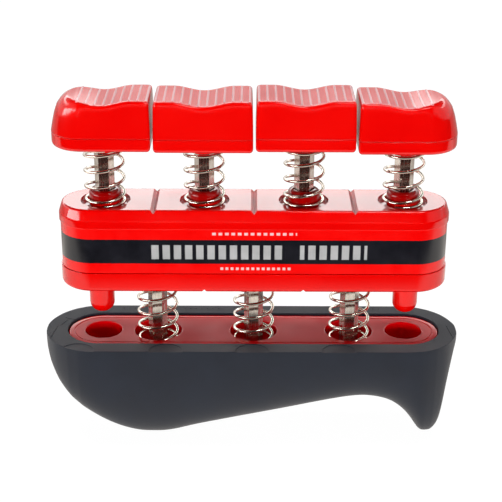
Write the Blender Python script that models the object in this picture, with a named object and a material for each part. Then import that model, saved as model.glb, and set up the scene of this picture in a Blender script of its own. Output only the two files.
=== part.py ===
"""Finger exerciser: four sprung finger buttons on a sliding body above a palm grip.

Metres, +Z up, +X along the row of fingers, -Y towards the labelled side.
Z = 0 is the surface that the palm grip rests on, X = Y = 0 its middle.
"""
import math

import bmesh
import bpy

MM = 0.001

# Row of fingers
FINGER_PITCH = 25.0 * MM
FINGERS = 4
BASE_SHAFTS = 3
ROW_SHIFT = 0.5 * MM          # the row sits this far to +X of the grip's middle

# Stack of heights, from the rest surface up
GRIP_DEPTH = 28.6 * MM
BODY_GAP = 14.3 * MM          # grip's top to the body's underside
BODY_HEIGHT = 21.9 * MM
BUTTON_GAP = 15.15 * MM       # body's top to the button's underside
BUTTON_HEIGHT = 12.7 * MM
BODY_STROKE = 9.0 * MM
FINGER_STROKE = 9.0 * MM
BUTTON_SETTLE = (0.10, 0.30, 0.0, 0.55)   # mm that each button rests below its stop

# Clearances
FIT = 0.3 * MM                # between pieces that touch
SLIDE_FIT = 0.3 * MM          # between a shaft and its guide
OVERCUT = 1.0 * MM            # cutters run this far past the wall they open

# Palm grip and the plate let into it
GRIP_RIM = 5.3 * MM           # soft rim beyond the plate's ends
GRIP_SIDE_RIM = 4.9 * MM      # soft rim beside the plate
PLATE_WIDTH = 17.6 * MM
PLATE_END = 11.0 * MM         # from the outer finger shaft to the plate's end
PLATE_DROP = 0.5 * MM
PLATE_THICKNESS = 9.0 * MM
PLATE_EDGE = 0.4 * MM
GRIP_EDGE = 0.9 * MM
GRIP_FLAT = 4.0 * MM          # half-width of the flat along the grip's underside
GRIP_ROUNDNESS = 2.8
GRIP_HALF_NORMAL = 53.8 * MM  # half-length that the palm profile is drawn for
GRIP_DEPTH_NORMAL = 28.6 * MM
PALM_PROFILE = (              # (distance along the grip, depth below its top), mm
    (-53.8, 4.0), (-53.0, 8.0), (-51.0, 13.0), (-47.0, 18.6), (-42.0, 22.7),
    (-37.0, 25.9), (-32.0, 27.9), (-28.0, 28.6), (-23.0, 28.6), (-16.0, 26.8),
    (-4.0, 24.0), (10.0, 20.8), (22.0, 17.9), (29.0, 16.8), (34.0, 17.5),
    (38.0, 19.3), (41.0, 22.0), (43.5, 26.0), (45.0, 28.2), (46.0, 28.6),
    (47.8, 28.6), (49.3, 27.4), (50.3, 24.5), (51.1, 17.0), (52.4, 8.5),
    (53.3, 4.5), (53.8, 3.0),
)

# Body
BODY_WIDTH = 17.7 * MM
BODY_END = 11.9 * MM          # from the outer finger shaft to the body's end
BODY_WALL = 1.6 * MM
TOP_CHAMFER = 0.9 * MM
TOP_CHAMFER_HEIGHT = 2.8 * MM
LIP_HEIGHT = 2.0 * MM
LABEL_RECESS = 0.95 * MM
LOWER_SHELL_HEIGHT = 4.95 * MM
LOWER_SHELL_ROUND = 1.2 * MM
CEILING = 3.0 * MM
FLOOR = 3.0 * MM
LABEL_THICKNESS = 0.35 * MM
LABEL_GAP = 0.3 * MM
GROOVE_WIDTH = 1.5 * MM
GROOVE_DEPTH = 0.9 * MM

# Guides for the shafts
SHAFT_FLATS = 4.35 * MM
BOSS_WALL = 1.24 * MM         # round the corners of the shaft's bore
BOSS_MARGIN = 1.45 * MM       # left between a boss and a pressed button's boss
BOSS_BELOW = 2.0 * MM         # below the body's ceiling
RECESS_DEPTH = 1.2 * MM
GUIDE_HEIGHT = 3.1 * MM       # above the body's floor

# Pegs on the body and their holes in the plate
PEG_FROM_SHAFT = 1.9 * MM
PEG_RADIUS = 3.24 * MM
PEG_LENGTH = 9.0 * MM
PEG_TIP = 1.2 * MM
PEG_HOLE_CLEARANCE = 1.6 * MM
PEG_HOLE_MARGIN = 1.6 * MM    # below the peg's lowest point
WELL_DEPTH = 3.5 * MM

# Shaft ends
HEAD_OVERHANG = 1.1 * MM      # of a shaft's head past the shaft's corners
SHAFT_HEAD_HEIGHT = 1.5 * MM
NECK_CUT = 0.575 * MM         # depth of the clip's neck below the shaft's flats
CLIP_THICKNESS = 0.8 * MM
CLIP_OVERHANG = 1.0 * MM
CLIP_OPENING = 70.0           # degrees
SHAFT_TAIL = 0.9 * MM         # beyond the clip's groove

# Springs
WIRE = 0.8 * MM
BASE_COIL_RADIUS = 5.0 * MM
COIL_INSIDE = 0.35 * MM       # from a boss to the coil round it
COIL_OUTSIDE = 0.95 * MM      # from a finger spring to the wall of its recess
WELL_OUTSIDE = 0.74 * MM      # from a base spring to the wall of its well
COIL_PITCH = 4.1 * MM
BASE_COIL_PITCH = 3.93 * MM
END_PITCH = 1.2 * MM
COIL_STEPS = 12
WIRE_SIDES = 5

# Buttons
BUTTON_WIDTH = 16.3 * MM
BUTTON_SPACING = 0.6 * MM
BUTTON_END = 12.7 * MM        # from the outer finger shaft to the button's end
BUTTON_CORNER = 0.9 * MM
BUTTON_WALL = 1.7 * MM
LID_HEIGHT = 3.3 * MM
LID_ROUND = 1.0 * MM
LID_THICKNESS = 2.0 * MM
LID_BOSS_HEIGHT = 1.6 * MM    # below the lid
DIP_DEPTH = 1.1 * MM
DIP_LENGTH = 16.0 * MM
DIP_ROOF = 1.8 * MM           # cap's roof under the dip
CAP_POST_WALL = 1.54 * MM     # round the corners of the shaft's socket
CAP_TAPER = (                 # (height above the cap's lower edge as a share, inset of
    (0.00, 0.00, 0.00),       #  the long sides in mm, inset of a round end in mm)
    (0.25, 0.08, 0.40),
    (0.52, 0.20, 1.00),
    (0.74, 0.32, 1.75),
    (0.88, 0.45, 2.70),
    (0.96, 0.62, 3.70),
    (1.00, 0.90, 4.70),
)

END_STEPS = 12                # facets round half of a rounded end
ROUND_STEPS = 24              # facets round a bore, boss or peg

# Derived places
ROUND_HEX = 2.0 / math.sqrt(3.0)      # a hexagon's corners over its flats
SHAFT_CORNER = SHAFT_FLATS / 2.0 * ROUND_HEX
BORE_FLATS = SHAFT_FLATS + 2.0 * SLIDE_FIT
SOCKET_FLATS = SHAFT_FLATS + 2.0 * FIT
BOSS_RADIUS = BORE_FLATS / 2.0 * ROUND_HEX + BOSS_WALL
CAP_POST_RADIUS = SOCKET_FLATS / 2.0 * ROUND_HEX + CAP_POST_WALL
SHAFT_HEAD_RADIUS = SHAFT_CORNER + HEAD_OVERHANG
CLIP_RADIUS = SHAFT_CORNER + CLIP_OVERHANG
NECK_RADIUS = SHAFT_FLATS / 2.0 - NECK_CUT
FINGER_COIL_RADIUS = BOSS_RADIUS + COIL_INSIDE + WIRE / 2.0
RECESS_RADIUS = FINGER_COIL_RADIUS + WIRE / 2.0 + COIL_OUTSIDE
WELL_RADIUS = BASE_COIL_RADIUS + WIRE / 2.0 + WELL_OUTSIDE
CAP_ROOF = BUTTON_HEIGHT - DIP_DEPTH - DIP_ROOF
ROW_HALF = FINGER_PITCH * (FINGERS - 1) / 2.0
GRIP_TOP = GRIP_DEPTH
PLATE_TOP = GRIP_TOP - PLATE_DROP
PLATE_BOTTOM = PLATE_TOP - PLATE_THICKNESS
PLATE_HALF = ROW_HALF + PLATE_END
GRIP_HALF = PLATE_HALF + GRIP_RIM
GRIP_HALF_WIDTH = PLATE_WIDTH / 2.0 + GRIP_SIDE_RIM
BODY_BOTTOM = GRIP_TOP + BODY_GAP
BODY_HALF = ROW_HALF + BODY_END
BOSS_HEIGHT = BUTTON_GAP - LID_BOSS_HEIGHT - FINGER_STROKE - BOSS_MARGIN
PEG_X = ROW_HALF + PEG_FROM_SHAFT
WELL_FLOOR = PLATE_TOP - WELL_DEPTH
SHELL_SPLIT = LOWER_SHELL_HEIGHT
LIP_TOP = BODY_HEIGHT - TOP_CHAMFER_HEIGHT
LABEL_TOP = LIP_TOP - LIP_HEIGHT
CEILING_Z = BODY_HEIGHT - CEILING
RECESS_FLOOR = BODY_HEIGHT - RECESS_DEPTH
GUIDE_TOP = FLOOR + GUIDE_HEIGHT
CLIP_GROOVE = CLIP_THICKNESS + 2.0 * FIT
FINGER_XS = [FINGER_PITCH * (i - (FINGERS - 1) / 2.0) for i in range(FINGERS)]
BASE_XS = [FINGER_PITCH * (i - (BASE_SHAFTS - 1) / 2.0) for i in range(BASE_SHAFTS)]
FINGER_COIL_STARTS = (1.75, 1.71, 1.29, 1.67)   # where each coil begins, in turns
BASE_COIL_STARTS = (1.62, 1.86, 1.62)

for old in list(bpy.data.objects):
    bpy.data.objects.remove(old, do_unlink=True)


def material(name, colour, roughness, metallic):
    """A Principled material of one colour."""
    mat = bpy.data.materials.new(name)
    mat.use_nodes = True
    shader = mat.node_tree.nodes["Principled BSDF"]
    shader.inputs["Base Color"].default_value = (*colour, 1.0)
    shader.inputs["Roughness"].default_value = roughness
    shader.inputs["Metallic"].default_value = metallic
    return mat


RED = material("red_plastic", (0.76, 0.004, 0.006), 0.15, 0.0)
RUBBER = material("grip_rubber", (0.028, 0.032, 0.042), 0.55, 0.0)
LABEL = material("label_print", (0.012, 0.012, 0.014), 0.25, 0.0)
STEEL = material("shaft_steel", (0.56, 0.53, 0.49), 0.28, 1.0)
NICKEL = material("spring_nickel", (0.72, 0.70, 0.66), 0.18, 1.0)


def empty(name, location, parent=None):
    """An empty that carries one body; it lies on the body's sliding axis."""
    holder = bpy.data.objects.new(name, None)
    holder.empty_display_size = 0.01
    holder.location = location
    holder.parent = parent
    bpy.context.scene.collection.objects.link(holder)
    return holder


def solid(name, bm, mat, parent, location=(0.0, 0.0, 0.0), smooth=40.0):
    """Turns a bmesh into an object with outward faces, under its parent."""
    bmesh.ops.recalc_face_normals(bm, faces=bm.faces)
    mesh = bpy.data.meshes.new(name)
    bm.to_mesh(mesh)
    bm.free()
    mesh.shade_smooth()
    mesh.set_sharp_from_angle(angle=math.radians(smooth))
    obj = bpy.data.objects.new(name, mesh)
    obj.location = location
    obj.parent = parent
    bpy.context.scene.collection.objects.link(obj)
    if mat:
        mesh.materials.append(mat)
    return obj


def tool(obj):
    """Marks an object as a cutter or a form that only feeds a Boolean."""
    obj.hide_render = True
    obj.display_type = "WIRE"
    return obj


def boolean(obj, other, operation):
    """Adds one Boolean with the exact solver."""
    step = obj.modifiers.new(operation.lower() + "_" + other.name, "BOOLEAN")
    step.operation = operation
    step.solver = "EXACT"
    step.object = tool(other)


def rings_mesh(rings, cyclic=False):
    """Skins a list of equal rings; the ends are capped unless it closes on itself."""
    bm = bmesh.new()
    loops = [[bm.verts.new(point) for point in ring] for ring in rings]
    pairs = list(zip(loops, loops[1:]))
    if cyclic:
        pairs.append((loops[-1], loops[0]))
    count = len(loops[0])
    for low, high in pairs:
        for i in range(count):
            j = (i + 1) % count
            bm.faces.new((low[i], low[j], high[j], high[i]))
    if not cyclic:
        bm.faces.new(loops[0])
        bm.faces.new(loops[-1])
    return bm


def stadium(half_length, half_width, z, x=0.0):
    """Outline with straight sides and half-round ends."""
    points = []
    for side in (1.0, -1.0):
        centre = x + side * (half_length - half_width)
        for i in range(END_STEPS + 1):
            angle = math.pi * (i / END_STEPS - 0.5)
            points.append((centre + side * half_width * math.cos(angle),
                           side * half_width * math.sin(angle), z))
    return points


def circle(radius, z, steps=ROUND_STEPS, x=0.0):
    """Round outline about a vertical axis."""
    turn = 2.0 * math.pi / steps
    return [(x + radius * math.cos(turn * i), radius * math.sin(turn * i), z)
            for i in range(steps)]


def hexagon(flats, z, steps=12, x=0.0):
    """Hexagon with a flat towards -Y, drawn with a point on each corner and flat."""
    points = []
    for i in range(steps):
        angle = 2.0 * math.pi * i / steps
        off_flat = (angle + math.pi / 6.0) % (math.pi / 3.0) - math.pi / 6.0
        radius = flats / 2.0 / math.cos(math.pi / 6.0 - abs(off_flat))
        points.append((x + radius * math.cos(angle), radius * math.sin(angle), z))
    return points


def prism(name, outline, low, high, parent):
    """A cutter or a form of one outline between two heights."""
    return solid(name, rings_mesh([outline(low), outline(high)]), None, parent)


def palm_depth(x):
    """Depth of the grip's underside below its top at a place along it."""
    scale = GRIP_HALF / GRIP_HALF_NORMAL
    for (x0, d0), (x1, d1) in zip(PALM_PROFILE, PALM_PROFILE[1:]):
        low, high = x0 * MM * scale, x1 * MM * scale
        if x <= high:
            share = (x - low) / (high - low)
            return (d0 + (d1 - d0) * share) * MM * GRIP_DEPTH / GRIP_DEPTH_NORMAL
    return PALM_PROFILE[-1][1] * MM * GRIP_DEPTH / GRIP_DEPTH_NORMAL


def palm_half_width(x):
    """Half-width of the grip's half-round plan at a place along it."""
    past = max(0.0, abs(x) - (GRIP_HALF - GRIP_HALF_WIDTH))
    return math.sqrt(max(GRIP_HALF_WIDTH ** 2 - past ** 2, (2.4 * MM) ** 2))


def palm_section(x):
    """U-shaped section of the grip: flat top, round sides, narrow flat underneath."""
    half, depth = palm_half_width(x), palm_depth(x)
    edge = min(GRIP_EDGE, depth / 4.0)
    flat = min(GRIP_FLAT, 0.55 * half)
    side = []
    for i in range(1, 7):
        angle = math.radians(12.0 * i)
        y = half * math.cos(angle) ** (2.0 / GRIP_ROUNDNESS)
        z = edge + (depth - edge) * math.sin(angle) ** (2.0 / GRIP_ROUNDNESS)
        side.append((max(y, flat * 1.15), z))
    right = [(half - edge, 0.0), (half - 0.3 * edge, 0.3 * edge), (half, edge)] + side
    right.append((flat, depth))
    points = right + [(-y, z) for y, z in reversed(right)]
    return [(x, y, GRIP_TOP - z) for y, z in points]


def palm_stations():
    """Places of the grip's sections: every profile point, and more round the ends."""
    scale = GRIP_HALF / GRIP_HALF_NORMAL
    stations = [x * MM * scale for x, _ in PALM_PROFILE]
    for i in range(1, 6):
        past = GRIP_HALF_WIDTH * math.sin(math.radians(15.0 * i))
        for x in (GRIP_HALF - GRIP_HALF_WIDTH + past, GRIP_HALF_WIDTH - GRIP_HALF - past):
            if min(abs(x - near) for near in stations) > 0.4 * MM:
                stations.append(x)
    return sorted(stations)


def make_grip(holder):
    """Soft palm grip: a loft along its length with a pocket for the plate."""
    stations = palm_stations()
    bm = rings_mesh([palm_section(x) for x in stations])
    grip = solid("handle_grip", bm, RUBBER, holder)
    pocket = prism("cut_grip_pocket",
                   lambda z: stadium(PLATE_HALF + FIT, PLATE_WIDTH / 2.0 + FIT, z, ROW_SHIFT),
                   PLATE_BOTTOM - FIT, GRIP_TOP + OVERCUT, holder)
    boolean(grip, pocket, "DIFFERENCE")


def make_plate(holder):
    """Hard plate in the grip: holes for the pegs, wells for the springs, shaft seats."""
    half, width = PLATE_HALF, PLATE_WIDTH / 2.0
    rings = [stadium(half, width, PLATE_BOTTOM),
             stadium(half, width, PLATE_TOP - PLATE_EDGE),
             stadium(half - PLATE_EDGE, width - PLATE_EDGE, PLATE_TOP)]
    plate = solid("base_plate", rings_mesh(rings), RED, holder)
    peg_floor = BODY_BOTTOM - PEG_LENGTH - BODY_STROKE - PEG_HOLE_MARGIN
    for side in (-1.0, 1.0):
        hole = prism("cut_peg_hole",
                     lambda z: circle(PEG_RADIUS + PEG_HOLE_CLEARANCE, z, x=side * PEG_X),
                     peg_floor, PLATE_TOP + OVERCUT, holder)
        boolean(plate, hole, "DIFFERENCE")
    for x in BASE_XS:
        well = prism("cut_well", lambda z: circle(WELL_RADIUS, z, x=x),
                     WELL_FLOOR, PLATE_TOP + OVERCUT, holder)
        seat = prism("cut_seat", lambda z: hexagon(SOCKET_FLATS, z, x=x),
                     PLATE_BOTTOM - OVERCUT, PLATE_TOP, holder)
        head = prism("cut_head", lambda z: circle(SHAFT_HEAD_RADIUS + FIT, z, x=x),
                     PLATE_BOTTOM - OVERCUT, PLATE_BOTTOM + SHAFT_HEAD_HEIGHT + FIT, holder)
        for cutter in (well, seat, head):
            boolean(plate, cutter, "DIFFERENCE")


def make_clip(name, x, z, holder):
    """Open retaining clip in a shaft's neck, its opening to the back."""
    open_half = math.radians(CLIP_OPENING / 2.0)
    steps = 16
    angles = [math.pi / 2.0 + open_half + (2.0 * math.pi - 2.0 * open_half) * i / steps
              for i in range(steps + 1)]
    outline = [(CLIP_RADIUS * math.cos(a), CLIP_RADIUS * math.sin(a)) for a in angles]
    inner = NECK_RADIUS + FIT * 1.2
    outline += [(inner * math.cos(a), inner * math.sin(a)) for a in reversed(angles)]
    rings = [[(px, py, level) for px, py in outline] for level in (0.0, CLIP_THICKNESS)]
    solid(name, rings_mesh(rings), NICKEL, holder, (x, 0.0, z))


def make_spring(name, x, low, high, radius, pitch, start, holder):
    """Right-hand coil spring between two seats, with closer end turns."""
    bottom, top = low + FIT + WIRE / 2.0, high - FIT - WIRE / 2.0
    active = (top - bottom - 2.0 * END_PITCH) / pitch
    turns = active + 2.0
    count = int(round(turns * COIL_STEPS))
    rings = []
    for i in range(count + 1):
        turn = turns * i / count
        end_low = min(turn, 1.0) * END_PITCH
        end_high = max(0.0, turn - 1.0 - active) * END_PITCH
        middle = min(max(turn - 1.0, 0.0), active) * pitch
        z = bottom + end_low + middle + end_high
        angle = 2.0 * math.pi * (turn + start)
        ring = []
        for k in range(WIRE_SIDES):
            around = 2.0 * math.pi * k / WIRE_SIDES
            out = radius + WIRE / 2.0 * math.cos(around)
            ring.append((out * math.cos(angle), out * math.sin(angle),
                         z + WIRE / 2.0 * math.sin(around)))
        rings.append(ring)
    solid(name, rings_mesh(rings), NICKEL, holder, (x, 0.0, 0.0), smooth=80.0)


def make_base_shafts(holder):
    """Three hexagonal shafts that stand in the plate, each with a spring and a clip."""
    hole_top = BODY_BOTTOM + GUIDE_TOP
    for number, (x, start) in enumerate(zip(BASE_XS, BASE_COIL_STARTS), 1):
        neck = hole_top
        neck_top = neck + CLIP_GROOVE + FIT
        levels = [
            circle(SHAFT_HEAD_RADIUS, PLATE_BOTTOM, 12),
            circle(SHAFT_HEAD_RADIUS, PLATE_BOTTOM + SHAFT_HEAD_HEIGHT, 12),
            hexagon(SHAFT_FLATS, PLATE_BOTTOM + SHAFT_HEAD_HEIGHT),
            hexagon(SHAFT_FLATS, neck),
            circle(NECK_RADIUS, neck, 12),
            circle(NECK_RADIUS, neck_top, 12),
            hexagon(SHAFT_FLATS, neck_top),
            hexagon(SHAFT_FLATS, neck_top + SHAFT_TAIL),
        ]
        solid("base_shaft_%d" % number, rings_mesh(levels), STEEL, holder, (x, 0.0, 0.0), 25.0)
        make_clip("base_clip_%d" % number, x, neck + FIT + FIT / 2.0, holder)
        make_spring("base_spring_%d" % number, x, WELL_FLOOR, BODY_BOTTOM + RECESS_DEPTH,
                    BASE_COIL_RADIUS, BASE_COIL_PITCH, start, holder)


def body_outline(inset, z):
    """Outline of the body, moved in from its widest line."""
    return stadium(BODY_HALF - inset, BODY_WIDTH / 2.0 - inset, z)


def make_upper_shell(holder):
    """Upper half of the body: label recess, lip, chamfer, guide bosses and grooves."""
    split = SHELL_SPLIT + FIT
    rings = [
        body_outline(LABEL_RECESS, split),
        body_outline(LABEL_RECESS, LABEL_TOP),
        body_outline(0.0, LABEL_TOP),
        body_outline(0.0, LIP_TOP),
        body_outline(TOP_CHAMFER, BODY_HEIGHT),
    ]
    shell = solid("body_upper_shell", rings_mesh(rings), RED, holder)
    inside = prism("cut_upper_inside",
                   lambda z: body_outline(LABEL_RECESS + BODY_WALL, z),
                   split - OVERCUT, CEILING_Z, holder)
    boolean(shell, inside, "DIFFERENCE")
    for x in FINGER_XS:
        recess = prism("cut_recess", lambda z: circle(RECESS_RADIUS, z, x=x),
                       RECESS_FLOOR, BODY_HEIGHT + OVERCUT, holder)
        boss = prism("form_boss", lambda z: circle(BOSS_RADIUS, z, x=x),
                     CEILING_Z - BOSS_BELOW, BODY_HEIGHT + BOSS_HEIGHT, holder)
        bore = prism("cut_bore", lambda z: hexagon(BORE_FLATS, z, x=x),
                     CEILING_Z - BOSS_BELOW - OVERCUT,
                     BODY_HEIGHT + BOSS_HEIGHT + OVERCUT, holder)
        boolean(shell, recess, "DIFFERENCE")
        boolean(shell, boss, "UNION")
        boolean(shell, bore, "DIFFERENCE")
    for x in BASE_XS:
        boolean(shell, groove("cut_top_groove", x, BODY_HEIGHT, holder), "DIFFERENCE")


def groove(name, x, z, holder):
    """Square bar on its edge, lying from front to back: it cuts a V-groove."""
    reach = BODY_WIDTH
    half = GROOVE_WIDTH / 2.0
    diamond = [(-half, 0.0), (0.0, -GROOVE_DEPTH), (half, 0.0), (0.0, GROOVE_DEPTH)]
    rings = [[(x + px, y, z + pz) for px, pz in diamond] for y in (-reach, reach)]
    return solid(name, rings_mesh(rings), None, holder)


def make_lower_shell(holder):
    """Lower half of the body: tray with two pegs, three guides and two notches."""
    step = LOWER_SHELL_ROUND
    rings = [
        body_outline(step, 0.0),
        body_outline(0.4 * step, 0.3 * step),
        body_outline(0.1 * step, 1.0 * step),
        body_outline(0.0, SHELL_SPLIT),
    ]
    shell = solid("body_lower_shell", rings_mesh(rings), RED, holder)
    inside = prism("cut_lower_inside",
                   lambda z: body_outline(LABEL_RECESS + BODY_WALL, z),
                   FLOOR, SHELL_SPLIT + OVERCUT, holder)
    boolean(shell, inside, "DIFFERENCE")
    for side in (-1.0, 1.0):
        x = side * PEG_X
        tip = [circle(PEG_RADIUS - PEG_TIP, -PEG_LENGTH, x=x),
               circle(PEG_RADIUS - 0.3 * PEG_TIP, 0.3 * PEG_TIP - PEG_LENGTH, x=x),
               circle(PEG_RADIUS, PEG_TIP - PEG_LENGTH, x=x),
               circle(PEG_RADIUS, FLOOR / 2.0, x=x)]
        boolean(shell, solid("form_peg", rings_mesh(tip), None, holder), "UNION")
    for x in BASE_XS:
        guide = prism("form_guide", lambda z: circle(BOSS_RADIUS, z, x=x),
                      FLOOR / 2.0 + RECESS_DEPTH / 2.0, GUIDE_TOP, holder)
        recess = prism("cut_under_recess", lambda z: circle(WELL_RADIUS, z, x=x),
                       -OVERCUT, RECESS_DEPTH, holder)
        bore = prism("cut_guide_bore",
                     lambda z: hexagon(BORE_FLATS, z, x=x),
                     -OVERCUT, GUIDE_TOP + OVERCUT, holder)
        boolean(shell, guide, "UNION")
        boolean(shell, recess, "DIFFERENCE")
        boolean(shell, bore, "DIFFERENCE")
    for x in FINGER_XS[1:-1]:
        boolean(shell, groove("cut_under_notch", x, 0.0, holder), "DIFFERENCE")


def make_label(holder):
    """Printed band that wraps the body in its recess."""
    inner = LABEL_RECESS - LABEL_GAP
    outer = inner - LABEL_THICKNESS
    low, high = SHELL_SPLIT + 2.0 * FIT, LABEL_TOP - FIT
    rings = [body_outline(outer, low), body_outline(outer, high),
             body_outline(inner, high), body_outline(inner, low)]
    solid("label_band", rings_mesh(rings, cyclic=True), LABEL, holder)


def button_outline(index, side_inset, end_inset, z):
    """Plan of one button about its shaft; the outer ends of the row are half-round."""
    half_width = BUTTON_WIDTH / 2.0 - side_inset
    inner = (FINGER_PITCH - BUTTON_SPACING) / 2.0 - side_inset
    points = []
    for side in (1.0, -1.0):
        outer = (side > 0.0 and index == FINGERS - 1) or (side < 0.0 and index == 0)
        reach_y = half_width if outer else BUTTON_CORNER
        reach_x = half_width if outer else BUTTON_CORNER
        end = (BUTTON_END - end_inset) if outer else inner
        for i in range(END_STEPS + 1):
            angle = math.pi * (i / END_STEPS - 0.5)
            y = reach_y * math.sin(angle)
            if not outer:
                y += math.copysign(half_width - reach_y, y) if i != END_STEPS // 2 else 0.0
            x = end - reach_x + reach_x * math.cos(angle)
            points.append((side * x, side * y, z))
    return points


def make_lid(number, holder):
    """Lower part of a button: a tray that the spring pushes on, round a short boss."""
    index = number - 1
    rings = [
        button_outline(index, LID_ROUND, LID_ROUND, 0.0),
        button_outline(index, 0.3 * LID_ROUND, 0.3 * LID_ROUND, 0.3 * LID_ROUND),
        button_outline(index, 0.0, 0.0, LID_ROUND),
        button_outline(index, 0.0, 0.0, LID_HEIGHT),
    ]
    lid = solid("button_lid_%d" % number, rings_mesh(rings), RED, holder)
    inside = prism("cut_lid_inside",
                   lambda z: button_outline(index, BUTTON_WALL, BUTTON_WALL, z),
                   LID_THICKNESS, LID_HEIGHT + OVERCUT, holder)
    boss = prism("form_lid_boss", lambda z: circle(BOSS_RADIUS, z),
                 -LID_BOSS_HEIGHT, LID_THICKNESS / 2.0, holder)
    bore = prism("cut_lid_bore", lambda z: hexagon(SOCKET_FLATS, z),
                 -LID_BOSS_HEIGHT - OVERCUT, LID_HEIGHT, holder)
    boolean(lid, inside, "DIFFERENCE")
    boolean(lid, boss, "UNION")
    boolean(lid, bore, "DIFFERENCE")


def make_cap(number, holder):
    """Upper part of a button: hollow, dished for a fingertip, with a post for the shaft."""
    index = number - 1
    low = LID_HEIGHT + FIT
    height = BUTTON_HEIGHT - low
    rings = [button_outline(index, side * MM, end * MM, low + share * height)
             for share, side, end in CAP_TAPER]
    cap = solid("button_cap_%d" % number, rings_mesh(rings), RED, holder)
    wall = BUTTON_WALL + CAP_TAPER[3][2] * MM
    inside = prism("cut_cap_inside",
                   lambda z: button_outline(index, BUTTON_WALL + 0.3 * MM, wall, z),
                   low - OVERCUT, CAP_ROOF, holder)
    post = prism("form_cap_post", lambda z: circle(CAP_POST_RADIUS, z),
                 low, CAP_ROOF + DIP_ROOF / 2.0, holder)
    socket = prism("cut_cap_socket", lambda z: hexagon(SOCKET_FLATS, z),
                   low - OVERCUT, CAP_ROOF, holder)
    radius = ((DIP_LENGTH / 2.0) ** 2 + DIP_DEPTH ** 2) / (2.0 * DIP_DEPTH)
    dip = solid("cut_dip", dip_mesh(radius), None, holder)
    boolean(cap, inside, "DIFFERENCE")
    boolean(cap, post, "UNION")
    boolean(cap, socket, "DIFFERENCE")
    boolean(cap, dip, "DIFFERENCE")


def dip_mesh(radius):
    """Segment of a wide cylinder that lies across the button and dishes its top."""
    centre = BUTTON_HEIGHT - DIP_DEPTH + radius
    steps = 12
    half_angle = math.asin(DIP_LENGTH * 0.6 / radius)
    arc = [(radius * math.sin(half_angle * (2.0 * i / steps - 1.0)),
            centre - radius * math.cos(half_angle * (2.0 * i / steps - 1.0)))
           for i in range(steps + 1)]
    arc += [(arc[-1][0], centre), (arc[0][0], centre)]
    return rings_mesh([[(x, y, z) for x, z in arc] for y in (-BUTTON_WIDTH, BUTTON_WIDTH)])


def make_finger_shaft(number, holder):
    """Hexagonal shaft of one button, held in its cap, with a clip under the guide."""
    guide_low = CEILING_Z - BOSS_BELOW - BODY_HEIGHT - BUTTON_GAP
    neck_top = guide_low + FIT / 2.0
    neck = neck_top - CLIP_GROOVE - FIT
    top = CAP_ROOF - FIT
    levels = [
        hexagon(SHAFT_FLATS, neck - SHAFT_TAIL),
        hexagon(SHAFT_FLATS, neck),
        circle(NECK_RADIUS, neck, 12),
        circle(NECK_RADIUS, neck_top, 12),
        hexagon(SHAFT_FLATS, neck_top),
        hexagon(SHAFT_FLATS, top),
    ]
    solid("finger_shaft_%d" % number, rings_mesh(levels), STEEL, holder, smooth=25.0)
    make_clip("finger_clip_%d" % number, 0.0, guide_low - FIT - CLIP_THICKNESS, holder)


def make_fingers(body):
    """The four buttons with their shafts and clips, and the springs on the body."""
    for number, (x, start) in enumerate(zip(FINGER_XS, FINGER_COIL_STARTS), 1):
        rest = BODY_HEIGHT + BUTTON_GAP - BUTTON_SETTLE[number - 1] * MM
        finger = empty("finger_%d" % number, (x, 0.0, rest), body)
        make_cap(number, finger)
        make_lid(number, finger)
        make_finger_shaft(number, finger)
        make_spring("finger_spring_%d" % number, x, RECESS_FLOOR, rest,
                    FINGER_COIL_RADIUS, COIL_PITCH, start, body)


grip_holder = empty("grip_side", (0.0, 0.0, 0.0))
make_grip(grip_holder)
base_holder = empty("base_row", (ROW_SHIFT, 0.0, 0.0), grip_holder)
make_plate(base_holder)
make_base_shafts(base_holder)

body_holder = empty("body", (ROW_SHIFT, 0.0, BODY_BOTTOM), grip_holder)
make_upper_shell(body_holder)
make_lower_shell(body_holder)
make_label(body_holder)
make_fingers(body_holder)
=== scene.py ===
import math

import bmesh
import bpy
from mathutils import Matrix, Vector


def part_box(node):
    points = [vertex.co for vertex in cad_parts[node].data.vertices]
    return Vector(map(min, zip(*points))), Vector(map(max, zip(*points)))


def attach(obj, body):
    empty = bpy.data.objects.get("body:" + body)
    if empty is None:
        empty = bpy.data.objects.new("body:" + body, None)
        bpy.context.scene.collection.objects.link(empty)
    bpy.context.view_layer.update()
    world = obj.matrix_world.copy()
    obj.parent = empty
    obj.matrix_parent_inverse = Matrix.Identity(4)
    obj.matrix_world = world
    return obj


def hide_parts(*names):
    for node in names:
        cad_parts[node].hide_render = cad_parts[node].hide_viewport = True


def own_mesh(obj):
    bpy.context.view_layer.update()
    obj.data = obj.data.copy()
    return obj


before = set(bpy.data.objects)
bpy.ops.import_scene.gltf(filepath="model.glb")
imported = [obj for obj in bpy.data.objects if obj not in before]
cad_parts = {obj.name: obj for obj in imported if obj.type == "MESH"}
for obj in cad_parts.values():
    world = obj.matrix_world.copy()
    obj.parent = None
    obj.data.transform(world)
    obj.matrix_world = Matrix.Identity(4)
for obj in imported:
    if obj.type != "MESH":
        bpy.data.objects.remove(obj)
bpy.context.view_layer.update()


# ---------------------------------------------------------------------------
# Palm grip. One soft charcoal rubber moulding that fills the palm: a deep belly,
# an arch for the heel of the hand and a hooked end. It is lofted along its length,
# and a stadium-shaped pocket in its top holds the hard plate.

MM = 0.001


def span(node):
    """Lowest and highest corner of a CAD node, in millimetres."""
    low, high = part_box(node)
    return low / MM, high / MM


def start(name):
    """Takes the new primitive into edit mode under its piece's name."""
    obj = bpy.context.object
    obj.name = name
    bpy.ops.object.mode_set(mode="EDIT")
    bpy.ops.mesh.select_all(action="DESELECT")
    return obj


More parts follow.
